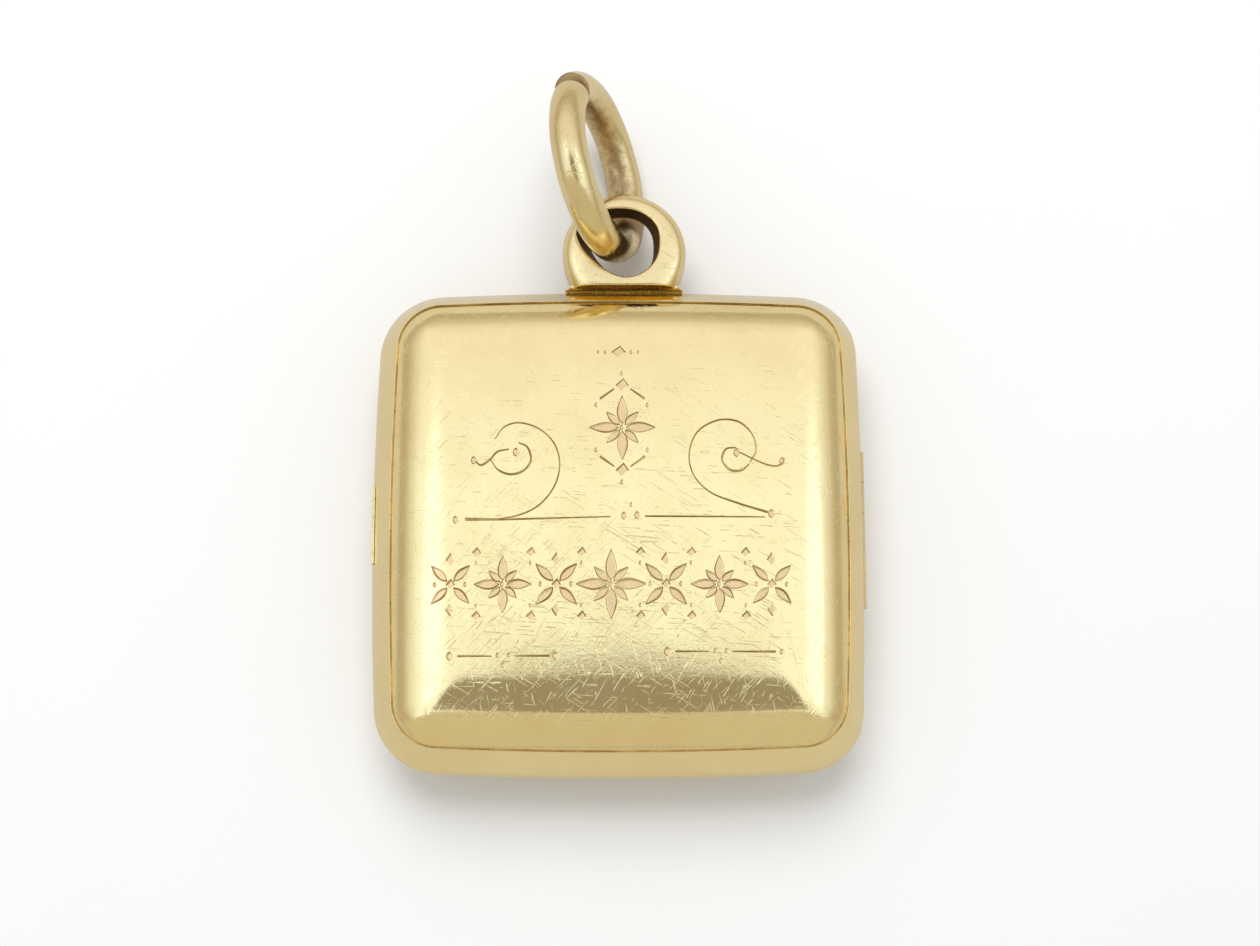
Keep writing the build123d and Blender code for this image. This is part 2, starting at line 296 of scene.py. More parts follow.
def sample(field, x, y):
    """Bicubic lookup, so that normals stay smooth."""
    fx, fy = (x + 10.5) / 0.05, (y + 10.5) / 0.05
    ix, iy = np.clip(np.floor(fx).astype(int), 1, 418), np.clip(np.floor(fy).astype(int), 1, 418)
    tx, ty = fx - ix, fy - iy

    def w(t):
        return [-0.5 * t + t * t - 0.5 * t ** 3, 1 - 2.5 * t * t + 1.5 * t ** 3,
                0.5 * t + 2 * t * t - 1.5 * t ** 3, -0.5 * t * t + 0.5 * t ** 3]

    wx, wy = w(tx), w(ty)
    total = 0
    for i in range(4):
        for j in range(4):
            total = total + wx[i] * wy[j] * field[ix + i - 1, iy + j - 1]
    return total


def pillow(x, y):
    w = smooth(inset(x, y), 1.9, 2.5)
    return pillow_raw(x, y) * (1 - w) + sample(blur, x, y) * w


# Ornament cut into the panel: strokes with a half width along them, and filled facets.
strokes, facets = [], []


def stroke(pts, w, deep=0.045):
    pts = np.array(pts, float)
    w = np.full(len(pts), w, float) if np.isscalar(w) else np.interp(np.linspace(0, 1, len(pts)), np.linspace(0, 1, len(w)), w)
    strokes.append((pts, w, deep))


def curve(pts, w, n=40, deep=0.04):
    """Smooth curve through the points (Catmull-Rom)."""
    p = np.array(pts, float)
    p = np.vstack([2 * p[0] - p[1], p, 2 * p[-1] - p[-2]])
    out = []
    for i in range(1, len(p) - 2):
        t = np.linspace(0, 1, max(4, n // (len(p) - 3)), endpoint=False)[:, None]
        out.append(0.5 * ((2 * p[i]) + (-p[i - 1] + p[i + 1]) * t + (2 * p[i - 1] - 5 * p[i] + 4 * p[i + 1] - p[i + 2]) * t ** 2
                          + (-p[i - 1] + 3 * p[i] - 3 * p[i + 1] + p[i + 2]) * t ** 3))
    out.append(p[-2][None])
    stroke(np.vstack(out), w, deep)


def facet(pts, deep=0.035):
    p = np.array(pts, float)
    area = sum(p[i][0] * p[(i + 1) % len(p)][1] - p[(i + 1) % len(p)][0] * p[i][1] for i in range(len(p)))
    facets.append((p if area > 0 else p[::-1], deep))


def lozenge(cx, cy, w, h, lean=0.12, flip=1):
    p = [(cx + flip * (0.10 * w), cy + h / 2), (cx + flip * w / 2, cy - lean * h), (cx - flip * 0.10 * w, cy - h / 2), (cx - flip * w / 2, cy + lean * h)]
    facet(p)
    stroke([p[3], p[0]], 0.032)
    stroke([p[0], p[1]], 0.026)


def dot(cx, cy, r):
    a = np.linspace(0, 2 * math.pi, 9)[:-1]
    facet(np.c_[cx + r * np.cos(a), cy + 1.1 * r * np.sin(a)], 0.04)
    b = np.linspace(1.6, 4.6, 7)
    stroke(np.c_[cx + r * np.cos(b), cy + 1.1 * r * np.sin(b)], 0.022, 0.03)


# small flourish above the centre piece
lozenge(-0.04, 6.72, 0.52, 0.46, 0.0)
for f in (-1, 1):
    dot(-0.04 + f * 0.52, 6.72, 0.06)
    dot(-0.04 + f * 0.80, 6.72, 0.04)

def leaf(cx, cy, ang, length, wide, f=1, cut=0.032):
    """Pointed leaf from (cx, cy) along ang (degrees), with a darker upper edge."""
    c, n = math.cos(math.radians(ang)) * f, math.sin(math.radians(ang))
    t = np.linspace(0, 1, 7)
    side = wide * np.sin(np.pi * t ** 0.8) / 2
    up = [(cx + f * 0 + c * length * k - n * s_ * 1, cy + n * length * k + c * s_) for k, s_ in zip(t, side)]
    dn = [(cx + c * length * k + n * s_, cy + n * length * k - c * s_) for k, s_ in zip(t, side)]
    facet(up + dn[-2:0:-1])
    stroke(up, [0.6 * cut, cut, 0.5 * cut])
    stroke(dn, 0.45 * cut, 0.025)


def rosette(cx, cy, r, petals=8, wide=0.34, start=90.0):
    """Ring of leaves about a small boss."""
    for k in range(petals):
        a = start + 360.0 * k / petals
        long = r if k % 2 == 0 else 0.68 * r
        leaf(cx + 0.16 * math.cos(math.radians(a)), cy + 0.16 * math.sin(math.radians(a)), a, long - 0.16, wide * long, 1)
    dot(cx, cy, 0.085)


# centre piece: a tall rosette with a bud above and below
rosette(0.10, 3.60, 1.30, 8, 0.30)
for sgn in (-1, 1):
    lozenge(0.10, 3.60 + sgn * 1.74, 0.46, 0.52, 0.0)
    dot(0.10, 3.60 + sgn * 2.22, 0.07)
    for f in (-1, 1):
        stroke([(0.10 + f * 0.34, 3.60 + sgn * 1.58), (0.10 + f * 0.86, 3.60 + sgn * 1.20)], [0.028, 0.05])
        dot(0.10 + f * 1.02, 3.60 + sgn * 0.92, 0.07)

# scrolls
dot(-5.75, 2.28, 0.13)
curve([(-5.70, 2.22), (-5.48, 2.08), (-5.15, 2.30), (-4.85, 2.62), (-4.40, 2.72)], [0.03, 0.045, 0.02])
curve([(-5.10, 2.28), (-4.80, 1.88), (-4.30, 1.70), (-3.80, 1.86), (-3.52, 2.30), (-3.66, 2.80), (-4.00, 2.98)], [0.02, 0.045, 0.04, 0.045, 0.02], 60)
dot(-4.08, 2.60, 0.14)
curve([(-4.95, 3.15), (-4.60, 3.62), (-4.00, 3.80), (-3.20, 3.55), (-2.60, 2.95), (-2.38, 2.10), (-2.60, 1.20), (-3.20, 0.45), (-4.00, 0.05), (-4.95, -0.12)], [0.018, 0.028, 0.03, 0.028, 0.018], 110)
dot(6.45, 2.25, 0.12)
curve([(6.50, 2.34), (6.42, 2.14), (6.10, 2.04), (5.55, 2.20), (4.70, 2.62)], [0.035, 0.03, 0.018])
curve([(4.60, 2.78), (4.20, 2.72), (4.05, 2.30), (4.35, 1.88), (4.80, 1.86), (5.10, 2.10)], [0.02, 0.045, 0.045, 0.03], 60)
dot(4.66, 2.58, 0.14)
curve([(5.15, 2.20), (5.40, 2.70), (5.25, 3.35), (4.70, 3.85), (3.90, 3.90), (3.10, 3.45), (2.75, 2.60), (2.90, 1.70), (3.55, 0.98), (4.60, 0.55), (5.80, 0.18)], [0.02, 0.03, 0.035, 0.028, 0.022, 0.045], 120)
dot(6.00, 0.12, 0.14)

# rules
dot(-6.45, -0.12, 0.12)
stroke([(-6.05, -0.10), (-4.6, -0.12), (-0.4, -0.02)], [0.065, 0.035, 0.018])
dot(0.18, 0.02, 0.12)
dot(0.70, 0.04, 0.12)
dot(0.46, 0.46, 0.06)
stroke([(1.0, 0.0), (3.2, -0.01), (5.7, -0.02)], [0.03, 0.028, 0.018])
for k, (x0, x1, y) in enumerate(((-6.62, -2.50, -5.52), (1.86, 6.32, -5.36))):
    dot(x0, y, 0.14)
    stroke([(x0 + 0.30, y), (x0 + 1.60, y)], [0.03, 0.018])
    dot(x0 + 1.86, y + 0.03, 0.07)
    dot(x0 + 2.30, y + 0.03, 0.07)
    dot(x0 + 2.08, y - 0.36, 0.08)
    stroke([(x0 + 2.52, y), (x1 - 0.28, y)], [0.018, 0.035])
    dot(x1, y, 0.13 if k == 0 else 0.08)

# frieze: rosettes and four-leaf sprigs between rows of lozenges, mirrored both ways
FX, FY = -0.35, -2.70


def sprig(x, s=1.0):
    """Four leaves crossed on a lozenge, the same every way up."""
    for a in (45, 135, 225, 315):
        leaf(x + 0.20 * math.cos(math.radians(a)), FY + 0.20 * math.sin(math.radians(a)), a, 0.92 * s, 0.30 * s, 1, 0.045)
    lozenge(x, FY, 0.30, 0.38, 0.0)
    for sy in (-1, 1):
        facet([(x - 0.16, FY + sy * 0.98), (x, FY + sy * 1.22), (x + 0.16, FY + sy * 0.98), (x, FY + sy * 0.74)])
        stroke([(x - 0.16, FY + sy * 0.98), (x, FY + sy * 1.22)], 0.03)
    for sx in (-1, 1):
        dot(x + sx * 0.60, FY, 0.07)


rosette(FX, FY, 1.36, 8, 0.30)
for f in (-1, 1):
    sprig(FX + f * 2.15)
    rosette(FX + f * 4.25, FY, 1.12, 8, 0.32)
    sprig(FX + f * 6.30, 0.92)
    for x in (1.15, 3.15, 5.28):
        for sy in (-1, 1):
            lozenge(FX + f * x, FY + sy * 1.26, 0.30, 0.36, 0.0)
            dot(FX + f * x, FY + sy * 0.84, 0.05)


def segments():
    a, b, wa, wb, d = [], [], [], [], []
    for pts, w, deep in strokes:
        a.append(pts[:-1]); b.append(pts[1:]); wa.append(w[:-1]); wb.append(w[1:])
        d.append(np.full(len(pts) - 1, deep))
    return [np.concatenate(q) for q in (a, b, wa, wb, d)]


SA, SB, SWA, SWB, SD = segments()


def engraving(x, y):
    """(depth, line share, facet share, distance to the nearest cut) at each point."""
    P = np.c_[x, y]
    depth, line, fill = np.zeros(len(P)), np.zeros(len(P)), np.zeros(len(P))
    near = np.full(len(P), 9.0)
    lo, hi = np.minimum(SA, SB) - 0.45, np.maximum(SA, SB) + 0.45
    tile = np.floor(P).astype(int)
    key = (tile[:, 0] + 50) * 200 + tile[:, 1] + 50
    order = np.argsort(key, kind="stable")
    cuts = np.flatnonzero(np.diff(key[order])) + 1
    for idx in np.split(order, cuts):
        if not len(idx):
            continue
        tx, ty = tile[idx[0]]
        m = (lo[:, 0] < tx + 1) & (hi[:, 0] > tx) & (lo[:, 1] < ty + 1) & (hi[:, 1] > ty)
        if not m.any():
            continue
        A, B, WA, WB, D = SA[m], SB[m], SWA[m], SWB[m], SD[m]
        AB = B - A
        L2 = (AB ** 2).sum(1) + 1e-12
        for i in range(0, len(idx), 4000):
            k = idx[i:i + 4000]
            q = P[k]
            t = np.clip(((q[:, None] - A) * AB).sum(2) / L2, 0, 1)
            dist = np.sqrt(((q[:, None] - A - t[:, :, None] * AB) ** 2).sum(2))
            w = WA + (WB - WA) * t
            near[k] = np.minimum(near[k], (dist - w).min(1))
            prof = np.clip(1 - (dist / w) ** 2, 0, 1)
            depth[k] = (D * prof).max(1)
            line[k] = prof.max(1)
    for p, deep in facets:
        box_lo, box_hi = p.min(0) - 0.3, p.max(0) + 0.3
        k = np.where(((P > box_lo) & (P < box_hi)).all(1))[0]
        if not len(k):
            continue
        e = np.roll(p, -1, 0) - p
        n = np.c_[e[:, 1], -e[:, 0]] / (np.linalg.norm(e, axis=1)[:, None] + 1e-12)
        out = ((P[k][:, None] - p) * n).sum(2).max(1)
        near[k] = np.minimum(near[k], out)
        s = smooth(-out, 0.0, 0.05)
        c = p.mean(0)
        tilt = 0.6 + 0.4 * np.clip(((P[k] - c) @ np.array([-0.7, 0.7])) / (np.ptp(p[:, 1]) / 2 + 1e-6), -1, 1)
        depth[k] = np.maximum(depth[k], deep * s * tilt)
        fill[k] = np.maximum(fill[k], s)
    return depth, line, fill, near


def column_set():
    """Around the outline: arc centre, radius at the seam and direction of each column."""
    cols = []
    arcs = []
    for k in range(4):
        arcs.append(((-KO, 0), SIDE_R, -TAN, TAN, 72, k))
        arcs.append(((CC, CC), CORNER_R, TAN, math.pi / 2 - TAN, 36, k))
    for (cx, cy), R, a0, a1, n, k in arcs:
        th = np.linspace(a0, a1, n, endpoint=False)
        if k == 0 and R == SIDE_R:
            extra = [math.asin(s * (3.25 + d) / SIDE_R) for s in (-1, 1) for d in (-0.001, 0.001)]
            th = np.sort(np.concatenate([th, extra]))
        c, s = math.cos(k * math.pi / 2), math.sin(k * math.pi / 2)
        for t in th:
            dx, dy = math.cos(t), math.sin(t)
            cols.append((c * cx - s * cy, s * cx + c * cy, R, c * dx - s * dy, s * dx + c * dy))
    return np.array(cols)


COLS = column_set()
NC = len(COLS)


def at(d):
    r = COLS[:, 2] - d
    return COLS[:, 0] + r * COLS[:, 3], COLS[:, 1] + r * COLS[:, 4]


def seam_floor(x, y, bevel=62.0, lowest=0.025):
    """Lowest height the cover's metal may reach beside the hinge."""
    z = np.full(np.shape(x), lowest)
    z = np.where((x > AXIS_X - 0.03) & (np.abs(y) < 8.6), np.maximum(z, math.tan(math.radians(bevel)) * (x - AXIS_X)), z)
    seat = np.sqrt(np.clip(0.375 ** 2 - (x - AXIS_X) ** 2, 0, None))
    return np.where(np.abs(y) < 3.25, np.maximum(z, seat), z)


def rim_in(z):
    t = np.clip(z / RIM_Z, 0, 1)
    return RIM_IN * (t - 0.2 * t * (1 - t))


def first_above(d_of_z, top):
    """For each column, the lowest z at which the wall stands above the seam floor."""
    zs = np.linspace(0.025, top, 400)
    best = np.full(NC, top)
    done = np.zeros(NC, bool)
    for z in zs:
        x, y = at(d_of_z(z))
        ok = (seam_floor(x, y) <= z + 1e-6) & ~done
        best[ok] = z
        done |= ok
    return best


z_out = first_above(rim_in, 1.2)
z_in = first_above(lambda z: rim_in(z) + 0.45, 1.2)
loops = []          # each loop: x, y, z arrays round the outline, in order along the section


def loop(d, z):
    x, y = at(d)
    loops.append((x, y, np.broadcast_to(z, x.shape).astype(float)))


# inner side, from the ceiling outwards and down to the seam
x, y = at(2.27)
loops.append((x, y, dome(x, y) - 0.45))
for f in (60, 35, 12):
    d = 2.27 - 1.0 * math.cos(math.radians(f))
    x, y = at(d)
    loops.append((x, y, dome(x, y) - 0.45 - 1.0 + 1.0 * math.sin(math.radians(f))))
loop(1.27, 1.32)
loop(rim_in(1.32) + 0.45, 1.32)
for k in range(1, 5):
    z = 1.32 + (z_in - 1.32) * k / 4
    loop(rim_in(z) + 0.45, z)
d_i, d_o = rim_in(z_in) + 0.45, rim_in(z_out)
for t in (0.2, 0.4, 0.6, 0.8, 0.92):
    d = d_i + (d_o - d_i) * t
    x, y = at(d)
    loops.append((x, y, seam_floor(x, y)))
for dd, dz in ((0.030, 0.0), (0.008, 0.012), (0.0, 0.045)):
    z = z_out + dz
    loop(rim_in(z) + dd, z)
for k in range(1, 12):
    z = z_out + 0.045 + (RIM_Z - 0.05 - z_out - 0.045) * k / 11
    loop(rim_in(z), z)
crease_from = len(loops)
for d, z in ((RIM_IN - 0.006, RIM_Z - 0.016), (RIM_IN + 0.003, RIM_Z - 0.010), (RIM_IN + 0.012, RIM_Z - 0.026),
             (SHOULDER_0 - 0.014, SHOULDER_Z + 0.004), (SHOULDER_0 - 0.004, SHOULDER_Z - 0.004)):
    loop(d, z)
crease_to = len(loops)
for d in np.concatenate([np.linspace(0.90, 1.80, 9), np.linspace(1.86, PANEL, 12)]):
    x, y = at(d)
    loops.append((x, y, pillow(x, y)))

verts = [np.c_[x, y, z] for x, y, z in loops]
faces = []
NL = len(loops)
for i in range(NL - 1):
    a0, b0 = i * NC, (i + 1) * NC
    j = np.arange(NC)
    k = (j + 1) % NC
    faces.append(np.c_[a0 + j, a0 + k, b0 + k, b0 + j])
quads = np.concatenate(faces)
shell_v = np.concatenate(verts)
ceiling = len(shell_v)
shell_v = np.vstack([shell_v, [[0, 0, CROWN - 0.45]]])
tris = [(ceiling, (j + 1) % NC, j) for j in range(NC)]

# panel points: a coarse net, halved again and again where a cut is near
cells = [(x, y) for x in np.arange(-8.0, 8.0, 0.32) for y in np.arange(-8.0, 8.0, 0.32)]
cells = np.array(cells)
size = 0.32
points = []
while True:
    c = cells + size / 2
    near = engraving(c[:, 0], c[:, 1])[3]
    split = ((near < 0.75 * size + 0.03) & (size > 0.03)) | ((inset(c[:, 0], c[:, 1]) < 3.9) & (size > 0.15))
    keep = cells[~split]
    if size > 0.03 or len(keep) == 0:
        points.append(keep); points.append(keep + [size, 0]); points.append(keep + [0, size]); points.append(keep + [size, size])
    else:
        points.append(keep + size / 2)
        points.append(keep)
    if not split.any():
        break
    s = cells[split]
    size /= 2
    cells = np.concatenate([s, s + [size, 0], s + [0, size], s + [size, size]])
points = np.unique(np.round(np.concatenate(points), 5), axis=0)
inside = inset(points[:, 0], points[:, 1]) > PANEL + 0.10
points = points[inside]
rim_x, rim_y = at(PANEL)
net = [Vector(p) for p in np.r_[np.c_[rim_x, rim_y], points].tolist()]
loop_edges = [(i, (i + 1) % NC) for i in range(NC)]
net_v, _, net_f, orig, _, _ = delaunay_2d_cdt(net, loop_edges, [], 1, 1e-7)
net_v = np.array([tuple(p) for p in net_v])
depth, line, fill, _ = engraving(net_v[:, 0], net_v[:, 1])
net_z = pillow(net_v[:, 0], net_v[:, 1]) - depth
last = (NL - 1) * NC
index = np.empty(len(net_v), int)
extra = []
for i, src in enumerate(orig):
    hit = [q for q in src if q < NC]
    if hit:
        index[i] = last + hit[0]
    else:
        index[i] = len(shell_v) + len(extra)
        extra.append((net_v[i][0], net_v[i][1], net_z[i], line[i], fill[i]))
extra = np.array(extra)
all_v = np.vstack([shell_v, extra[:, :3]])
polys = [tuple(q) for q in quads.tolist()] + tris + [tuple(int(index[i]) for i in f) for f in net_f]


def mesh_object(name, v, f, mat, smooth_faces=True):
    me = bpy.data.meshes.new(name)
    me.from_pydata([tuple(p) for p in v], [], f)
    me.validate()
    if smooth_faces:
        me.polygons.foreach_set("use_smooth", [True] * len(me.polygons))
    me.materials.append(mat)
    o = bpy.data.objects.new(name, me)
    scene.collection.objects.link(o)
    return o


def engraved(g, a, mm, col, r):
    """Tone of the cuts: brown hairlines, pinker and duller facets."""
    geo_line = g.new("ShaderNodeAttribute", attribute_name="cut_line").outputs["Fac"]
    geo_fill = g.new("ShaderNodeAttribute", attribute_name="cut_fill").outputs["Fac"]
    dark_amount = g.ramp(g.noise(mm, 0.9, 3.0), 0.30, 0.62, 0.45, 1.0)
    lf = g.math("MULTIPLY", g.ramp(geo_line, 0.05, 0.75), dark_amount)
    ff = g.math("MULTIPLY", g.ramp(geo_fill, 0.1, 0.9), 0.85)
    col = g.mix(ff, col, rgb(0.80, 0.56, 0.29))
    col = g.mix(lf, col, rgb(0.34, 0.20, 0.07))
    r = g.math("ADD", r, g.math("MULTIPLY", g.math("MAXIMUM", lf, ff), 0.22))
    return col, r


m_cover = gold("gold_engraved", GOLD, GOLD_DEEP, 0.045, mark=engraved, haze_r=0.03, fine_r=0.03)
all_v = all_v + np.array([0, 0, SEAM])
cover = mesh_object("engraved_cover", all_v * MM, polys, m_cover)
for nm, col in (("cut_line", 3), ("cut_fill", 4)):
    att = cover.data.attributes.new(nm, "FLOAT", "POINT")
    vals = np.zeros(len(cover.data.vertices), np.float32)
    vals[len(shell_v):] = extra[:, col]
    if nm == "cut_line":
        vals[(crease_from + 2) * NC:crease_to * NC] = 0.55
    att.data.foreach_set("value", vals)
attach(cover, "cover")
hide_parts("front_cover")
print("COVER", len(all_v), len(polys), "loops", NL, "cols", NC)

# ------------------------------------------------------- worn ring and bail, with dirt and painted shade
def dirt_and_shade(strength, dark):
    def mark(g, a, mm, col, r):
        """Painted shade and old soiling, heaviest where the attribute says."""
        shade_dirt_mask = g.new("ShaderNodeAttribute", attribute_name="darkening").outputs["Fac"]
        n = g.noise(mm, 2.6, 6.0, 0.68)
        f = g.ramp(g.math("ADD", shade_dirt_mask, g.math("MULTIPLY", g.math("SUBTRACT", n, 0.5), 0.9)), 0.22, 0.80)
        f = g.math("MULTIPLY", f, strength)
        return g.mix(f, col, dark), g.math("ADD", r, g.math("MULTIPLY", f, 0.32))
    return mark


def put_attribute(o, name, values):
    att = o.data.attributes.new(name, "FLOAT", "POINT")
    att.data.foreach_set("value", np.asarray(values, np.float32))


# Both marks paint shade along with dirt; the ring's gold is also toned darker than the case's, as painted shade for
# its dimmer reflections.
m_ring = gold("gold_ring", (0.82, 0.665, 0.335), (0.70, 0.53, 0.25), 0.10, 1.6, mark=dirt_and_shade(0.80, rgb(0.30, 0.165, 0.07)), haze_r=0.10, fine_r=0.08)
m_bail = gold("gold_bail", (0.87, 0.705, 0.355), (0.76, 0.59, 0.28), 0.15, 1.4, mark=dirt_and_shade(0.95, rgb(0.13, 0.075, 0.035)), haze_r=0.08, fine_r=0.08)

# jump ring: round wire bent until its two ends nearly meet, one a little proud of the other
RC = np.array([-0.8861, 15.1689, SEAM + 0.8402])
RN = np.array([0.9261, 0.1419, 0.3497])
RN = RN / np.linalg.norm(RN)
RX = np.array([0.0, RN[2], -RN[1]])
RX = RX / np.linalg.norm(RX)
RY = np.cross(RN, RX)
RING_R, WIRE_R, JOINT, OPEN = 3.304, 0.740, 56.0, 2.1
NA, NB = 300, 56
# close steps at both ends, so that the ends can be rounded
steps = np.sin(np.linspace(-1, 1, NA) * math.pi / 2) * 0.5 + 0.5
steps = 0.55 * steps + 0.45 * np.linspace(0, 1, NA)
ang = np.radians(JOINT + OPEN + steps * (360 - 2 * OPEN))
arc = (ang - ang[0]) * RING_R
left = (ang[-1] - ang) * RING_R
end_round = 0.46
grow = np.sqrt(np.clip(1 - np.clip(1 - arc / end_round, 0, 1) ** 2, 0, 1)) * 0.50 + 0.50
tail_round = 0.12
grow *= np.sqrt(np.clip(1 - np.clip(1 - left / tail_round, 0, 1) ** 2, 0, 1)) * 0.14 + 0.86
shift_r = -0.05 * np.exp(-arc / 1.6) + 0.07 * np.exp(-left / 1.8)
shift_n = 0.05 * np.exp(-arc / 1.6) - 0.05 * np.exp(-left / 1.8)
ring_v, ring_g = [], []
for k in range(NA):
    radial = math.cos(ang[k]) * RX + math.sin(ang[k]) * RY
    centre = RC + (RING_R + shift_r[k]) * radial + shift_n[k] * RN
    for j in range(NB):
        b = 2 * math.pi * j / NB
        # a hand-drawn wire is never quite round or even
        r = WIRE_R * grow[k] * (1 - 0.010 - 0.008 * math.sin(5 * ang[k] + 1.3) * math.cos(2 * b) - 0.006 * math.sin(11 * ang[k] + 3 * b))
        ring_v.append(centre + r * (math.cos(b) * radial + math.sin(b) * RN))
        # darker on the inner side of the wire; painted shade at both ends, so that the joint gap shows dark
        inside = max(0.0, -math.cos(b)) ** 1.4
        dark_amount = 0.62 * inside
        dark_amount += 1.0 * math.exp(-left[k] / 0.16) + 0.8 * math.exp(-arc[k] / 0.16)
        # painted shade, with dirt, on the stretch behind the bail hole
        at_hole = math.hypot(ring_v[-1][0] - 0.35, ring_v[-1][1] - 12.0)
        behind = 1 - smooth(ring_v[-1][2] - SEAM, -0.9, 0.2)
        dark_amount += 0.75 * behind * (1 - smooth(at_hole, 1.5, 2.6))
        ring_g.append(min(1.0, dark_amount))
ring_f = []
for k in range(NA - 1):
    for j in range(NB):
        ring_f.append((k * NB + j, k * NB + (j + 1) % NB, (k + 1) * NB + (j + 1) % NB, (k + 1) * NB + j))
for k, flip in ((0, True), (NA - 1, False)):
    radial = math.cos(ang[k]) * RX + math.sin(ang[k]) * RY
    ring_v.append(RC + (RING_R + shift_r[k]) * radial + shift_n[k] * RN)
    ring_g.append(1.0)
    c = len(ring_v) - 1
    for j in range(NB):
        p, q = k * NB + j, k * NB + (j + 1) % NB
        ring_f.append((c, q, p) if flip else (c, p, q))
ring = mesh_object("open_ring", np.array(ring_v) * MM, ring_f, m_ring)
put_attribute(ring, "darkening", ring_g)
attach(ring, "ring")
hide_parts("jump_ring")

# bail: the loop and its feet fused and worn round, then painted shade, with dirt, in the hole and at the foot's corner
# by the case
parts = []
for node in ("bail_loop", "bail_foot"):
    src = frame["nodes"][node]
    w = np.array(src.matrix_world)
    co = np.empty(len(src.data.vertices) * 3)
    src.data.vertices.foreach_get("co", co)
    co = (np.c_[co.reshape(-1, 3), np.ones(len(co) // 3)] @ w.T)[:, :3] / MM
    parts.append((co, [tuple(p.vertices) for p in src.data.polygons]))
base = len(parts[0][0])
bail_v = np.vstack([parts[0][0], parts[1][0]])
bail_f = parts[0][1] + [tuple(i + base for i in f) for f in parts[1][1]]
bail = mesh_object("bail", bail_v, bail_f, m_bail)
bpy.context.view_layer.objects.active = bail
bail.select_set(True)
bail.data.remesh_voxel_size = 0.036
bpy.ops.object.voxel_remesh()
n_v = len(bail.data.vertices)
co = np.empty(n_v * 3)
bail.data.vertices.foreach_get("co", co)
co = co.reshape(-1, 3)
edges = np.empty(len(bail.data.edges) * 2, int)
bail.data.edges.foreach_get("vertices", edges)
edges = edges.reshape(-1, 2)
degree = np.bincount(edges.ravel(), minlength=n_v)[:, None]


def relax(p, amount):
    total = np.zeros_like(p)
    np.add.at(total, edges[:, 0], p[edges[:, 1]])
    np.add.at(total, edges[:, 1], p[edges[:, 0]])
    return p + amount * (total / np.maximum(degree, 1) - p)


for _ in range(9):
    co = relax(co, 0.60)
    co = relax(co, -0.52)
for _ in range(3):
    co = relax(co, 0.5)
# crown the face of the loop, so that it falls away towards its rim
rad = np.hypot(co[:, 0] - 0.21, co[:, 1] - 11.62)
face = smooth(co[:, 2] - SEAM, 0.10, 0.60)
co[:, 2] -= face * 0.20 * np.clip((rad - 1.55) / 1.0, 0, 1) ** 2
# stay out of the cover's sweep and off the back half's rim
co[:, 1] = np.where((co[:, 2] > SEAM - 0.04) & (co[:, 1] < 10.055), 10.055, co[:, 1])
bail.data.vertices.foreach_set("co", (co * MM).ravel())
bail.data.update()
nrm = np.empty(n_v * 3)
bail.data.vertices.foreach_get("normal", nrm)
nrm = nrm.reshape(-1, 3)
from_centre = np.hypot(co[:, 0] - 0.21, co[:, 1] - 11.62)
# painted shade, with dirt: dark on the wall of the hole and low on the foot where it meets the case
wall = smooth(1 - np.abs(nrm[:, 2]), 0.25, 0.75) * smooth(2.32 - from_centre, 0, 0.12) * smooth(co[:, 1], 10.32, 10.46)
low = smooth(10.30 - co[:, 1], 0.0, 0.26) * 0.22
put_attribute(bail, "darkening", np.clip(np.maximum(wall * 1.15, low), 0, 1))
bail.data.polygons.foreach_set("use_smooth", [True] * len(bail.data.polygons))
if not bail.data.materials:
    bail.data.materials.append(m_bail)
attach(bail, "case")
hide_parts("bail_loop", "bail_foot")
print("BAIL", n_v, len(bail.data.polygons))

# --------------------------------------------------------------------- camera
# axes of the view and distance, from the fitted viewing angle (millimetres, about the case centre at the seam)
CAM_POS = Vector((-0.5956, -18.9274, 98.2193 + SEAM)) * MM
CAM_R = Vector((0.999948, -0.002834, 0.009822))
CAM_U = Vector((0.000686, 0.977251, 0.212084))
CAM_D = Vector((-0.0102, -0.212066, 0.977202))
cam_data = bpy.data.cameras.new("camera")
cam = bpy.data.objects.new("camera", cam_data)
scene.collection.objects.link(cam)
cam_data.sensor_width = 36.0
cam_data.lens = 70.476
cam_data.clip_start = 0.001
cam_data.clip_end = 10.0
m = Matrix.Identity(4)
for row in range(3):
    m[row][0], m[row][1], m[row][2], m[row][3] = CAM_R[row], CAM_U[row], CAM_D[row], CAM_POS[row]
cam.matrix_world = m
scene.camera = cam

# ---------------------------------------------------------------------- floor
bpy.ops.mesh.primitive_plane_add(size=1.2, location=(0, 0.0, 0))
floor = bpy.context.object
floor.name = "floor"


def b_floor(g, p):
    pos = g.new("ShaderNodeTexCoord").outputs["Object"]
    n = g.noise(pos, 60.0, 4.0)
    seen = g.mix(n, rgb(0.90, 0.90, 0.895), rgb(0.88, 0.88, 0.875))
    path = g.new("ShaderNodeLightPath")
    # the floor is darker in glossy rays than seen straight on: a painted, dimmer reflection of the floor in the gold
    g.put(p.inputs["Base Color"], g.mix(path.outputs["Is Glossy Ray"], seen, rgb(0.66, 0.65, 0.64)))
    p.inputs["Roughness"].default_value = 0.85
    p.inputs["Specular IOR Level"].default_value = 0.2


floor.data.materials.append(material("floor_pale", b_floor))

# ---------------------------------------------------------------------- light
scene.view_settings.view_transform = "Standard"
world = bpy.data.worlds.new("studio")
scene.world = world
world.use_nodes = True
g = Nodes(world.node_tree)
out = g.new("ShaderNodeOutputWorld")
direction = g.new("ShaderNodeTexCoord").outputs["Generated"]


def toward(tilt_x, tilt_y):
    """Unit direction from tilts (degrees) off the zenith towards +X and +Y."""
    v = Vector((math.tan(math.radians(tilt_x)), math.tan(math.radians(tilt_y)), 1.0))
    return tuple(v.normalized())


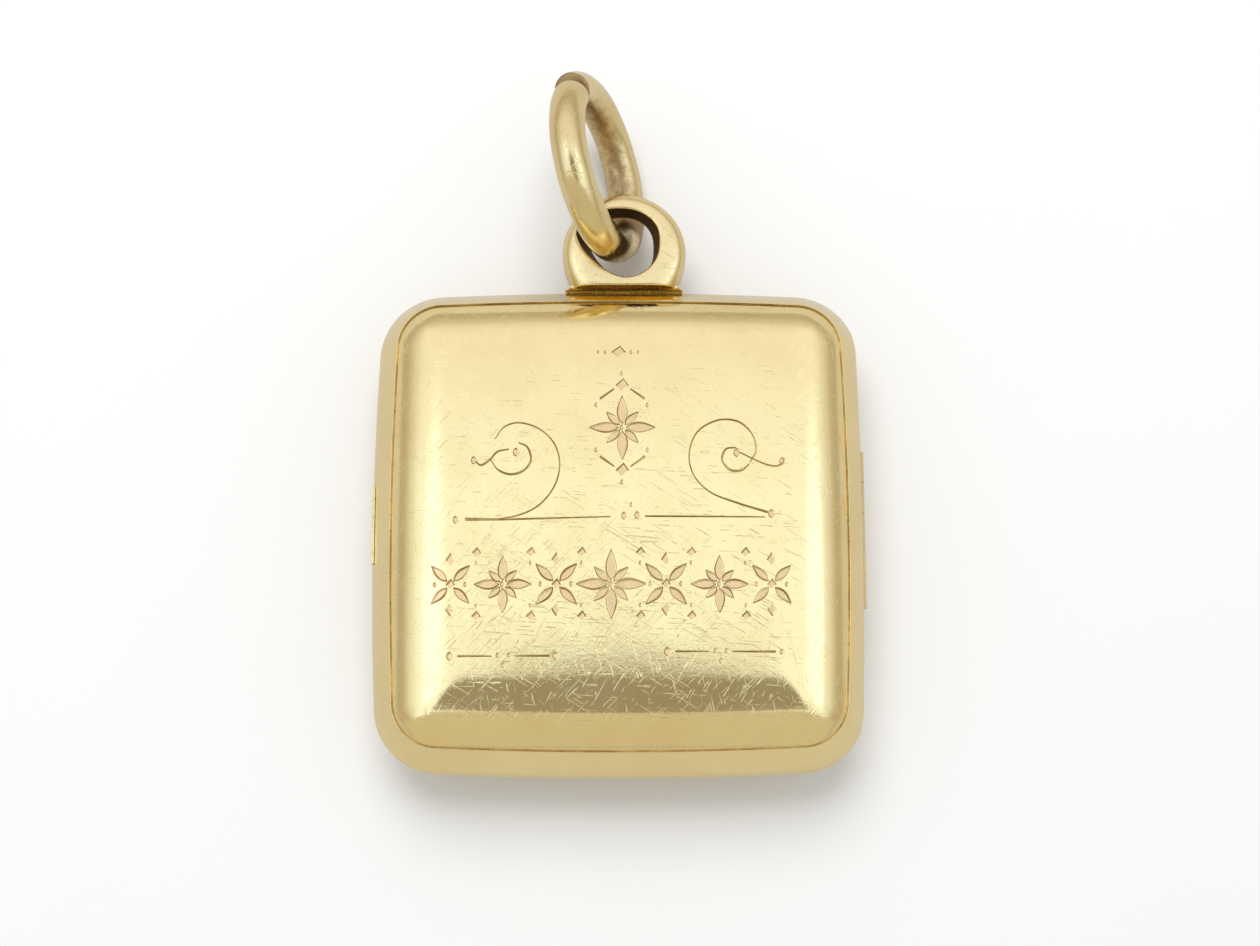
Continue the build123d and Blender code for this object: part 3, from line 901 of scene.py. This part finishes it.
def lobe(axis, inner, outer):
    d = g.vmath("DOT_PRODUCT", direction, axis)
    return g.ramp(d, math.cos(math.radians(outer)), math.cos(math.radians(inner)))


xyz = g.new("ShaderNodeSeparateXYZ")
g.put(xyz.inputs[0], direction)
up = xyz.outputs[2]
# light tent: bright overhead, dimmer and warmer towards the horizon
tent = g.ramp(up, 0.10, 0.78)
far = g.ramp(xyz.outputs[1], 0.19, 0.36)
over = g.mix(far, rgb(1.13, 1.27, 1.50), rgb(1.04, 1.06, 1.20))
glossy = g.mix(tent, rgb(0.57, 0.52, 0.46), over)
# long bright panels either side
for side, at_tilt in ((-1.0, 27.0), (1.0, 38.0)):
    panel = lobe(toward(side * at_tilt, 6.0), 5.0, 14.0)
    glossy = g.mix(panel, glossy, rgb(1.6, 1.7, 2.1))
# nothing bright on the near side, beyond the camera
near = g.ramp(xyz.outputs[1], -0.36, -0.47)
glossy = g.mix(near, glossy, rgb(0.68, 0.65, 0.57))
# the dark round of the camera, straight along the view
lens = lobe(toward(0.6, -11.0), 15.0, 15.9)
glossy = g.mix(lens, glossy, rgb(0.37, 0.35, 0.32))
bg_gloss = g.new("ShaderNodeBackground")
g.put(bg_gloss.inputs[0], glossy)
bg_soft = g.new("ShaderNodeBackground")
g.put(bg_soft.inputs[0], rgb(1.0, 1.0, 1.0))
bg_soft.inputs[1].default_value = 0.69
path = g.new("ShaderNodeLightPath")
pick = g.new("ShaderNodeMixShader")
g.put(pick.inputs[0], path.outputs["Is Glossy Ray"])
g.t.links.new(bg_soft.outputs[0], pick.inputs[1])
g.t.links.new(bg_gloss.outputs[0], pick.inputs[2])
g.t.links.new(pick.outputs[0], out.inputs[0])

key_data = bpy.data.lights.new("key", "AREA")
key = bpy.data.objects.new("key", key_data)
scene.collection.objects.link(key)
key_data.shape = "DISK"
key_data.size = 0.16
key_data.energy = 0.27
key.location = (-0.02, 0.10, 0.20)
key.rotation_mode = "QUATERNION"
key.rotation_quaternion = (Vector((0, 0, 0)) - key.location).to_track_quat("-Z", "Y")
key.visible_glossy = False
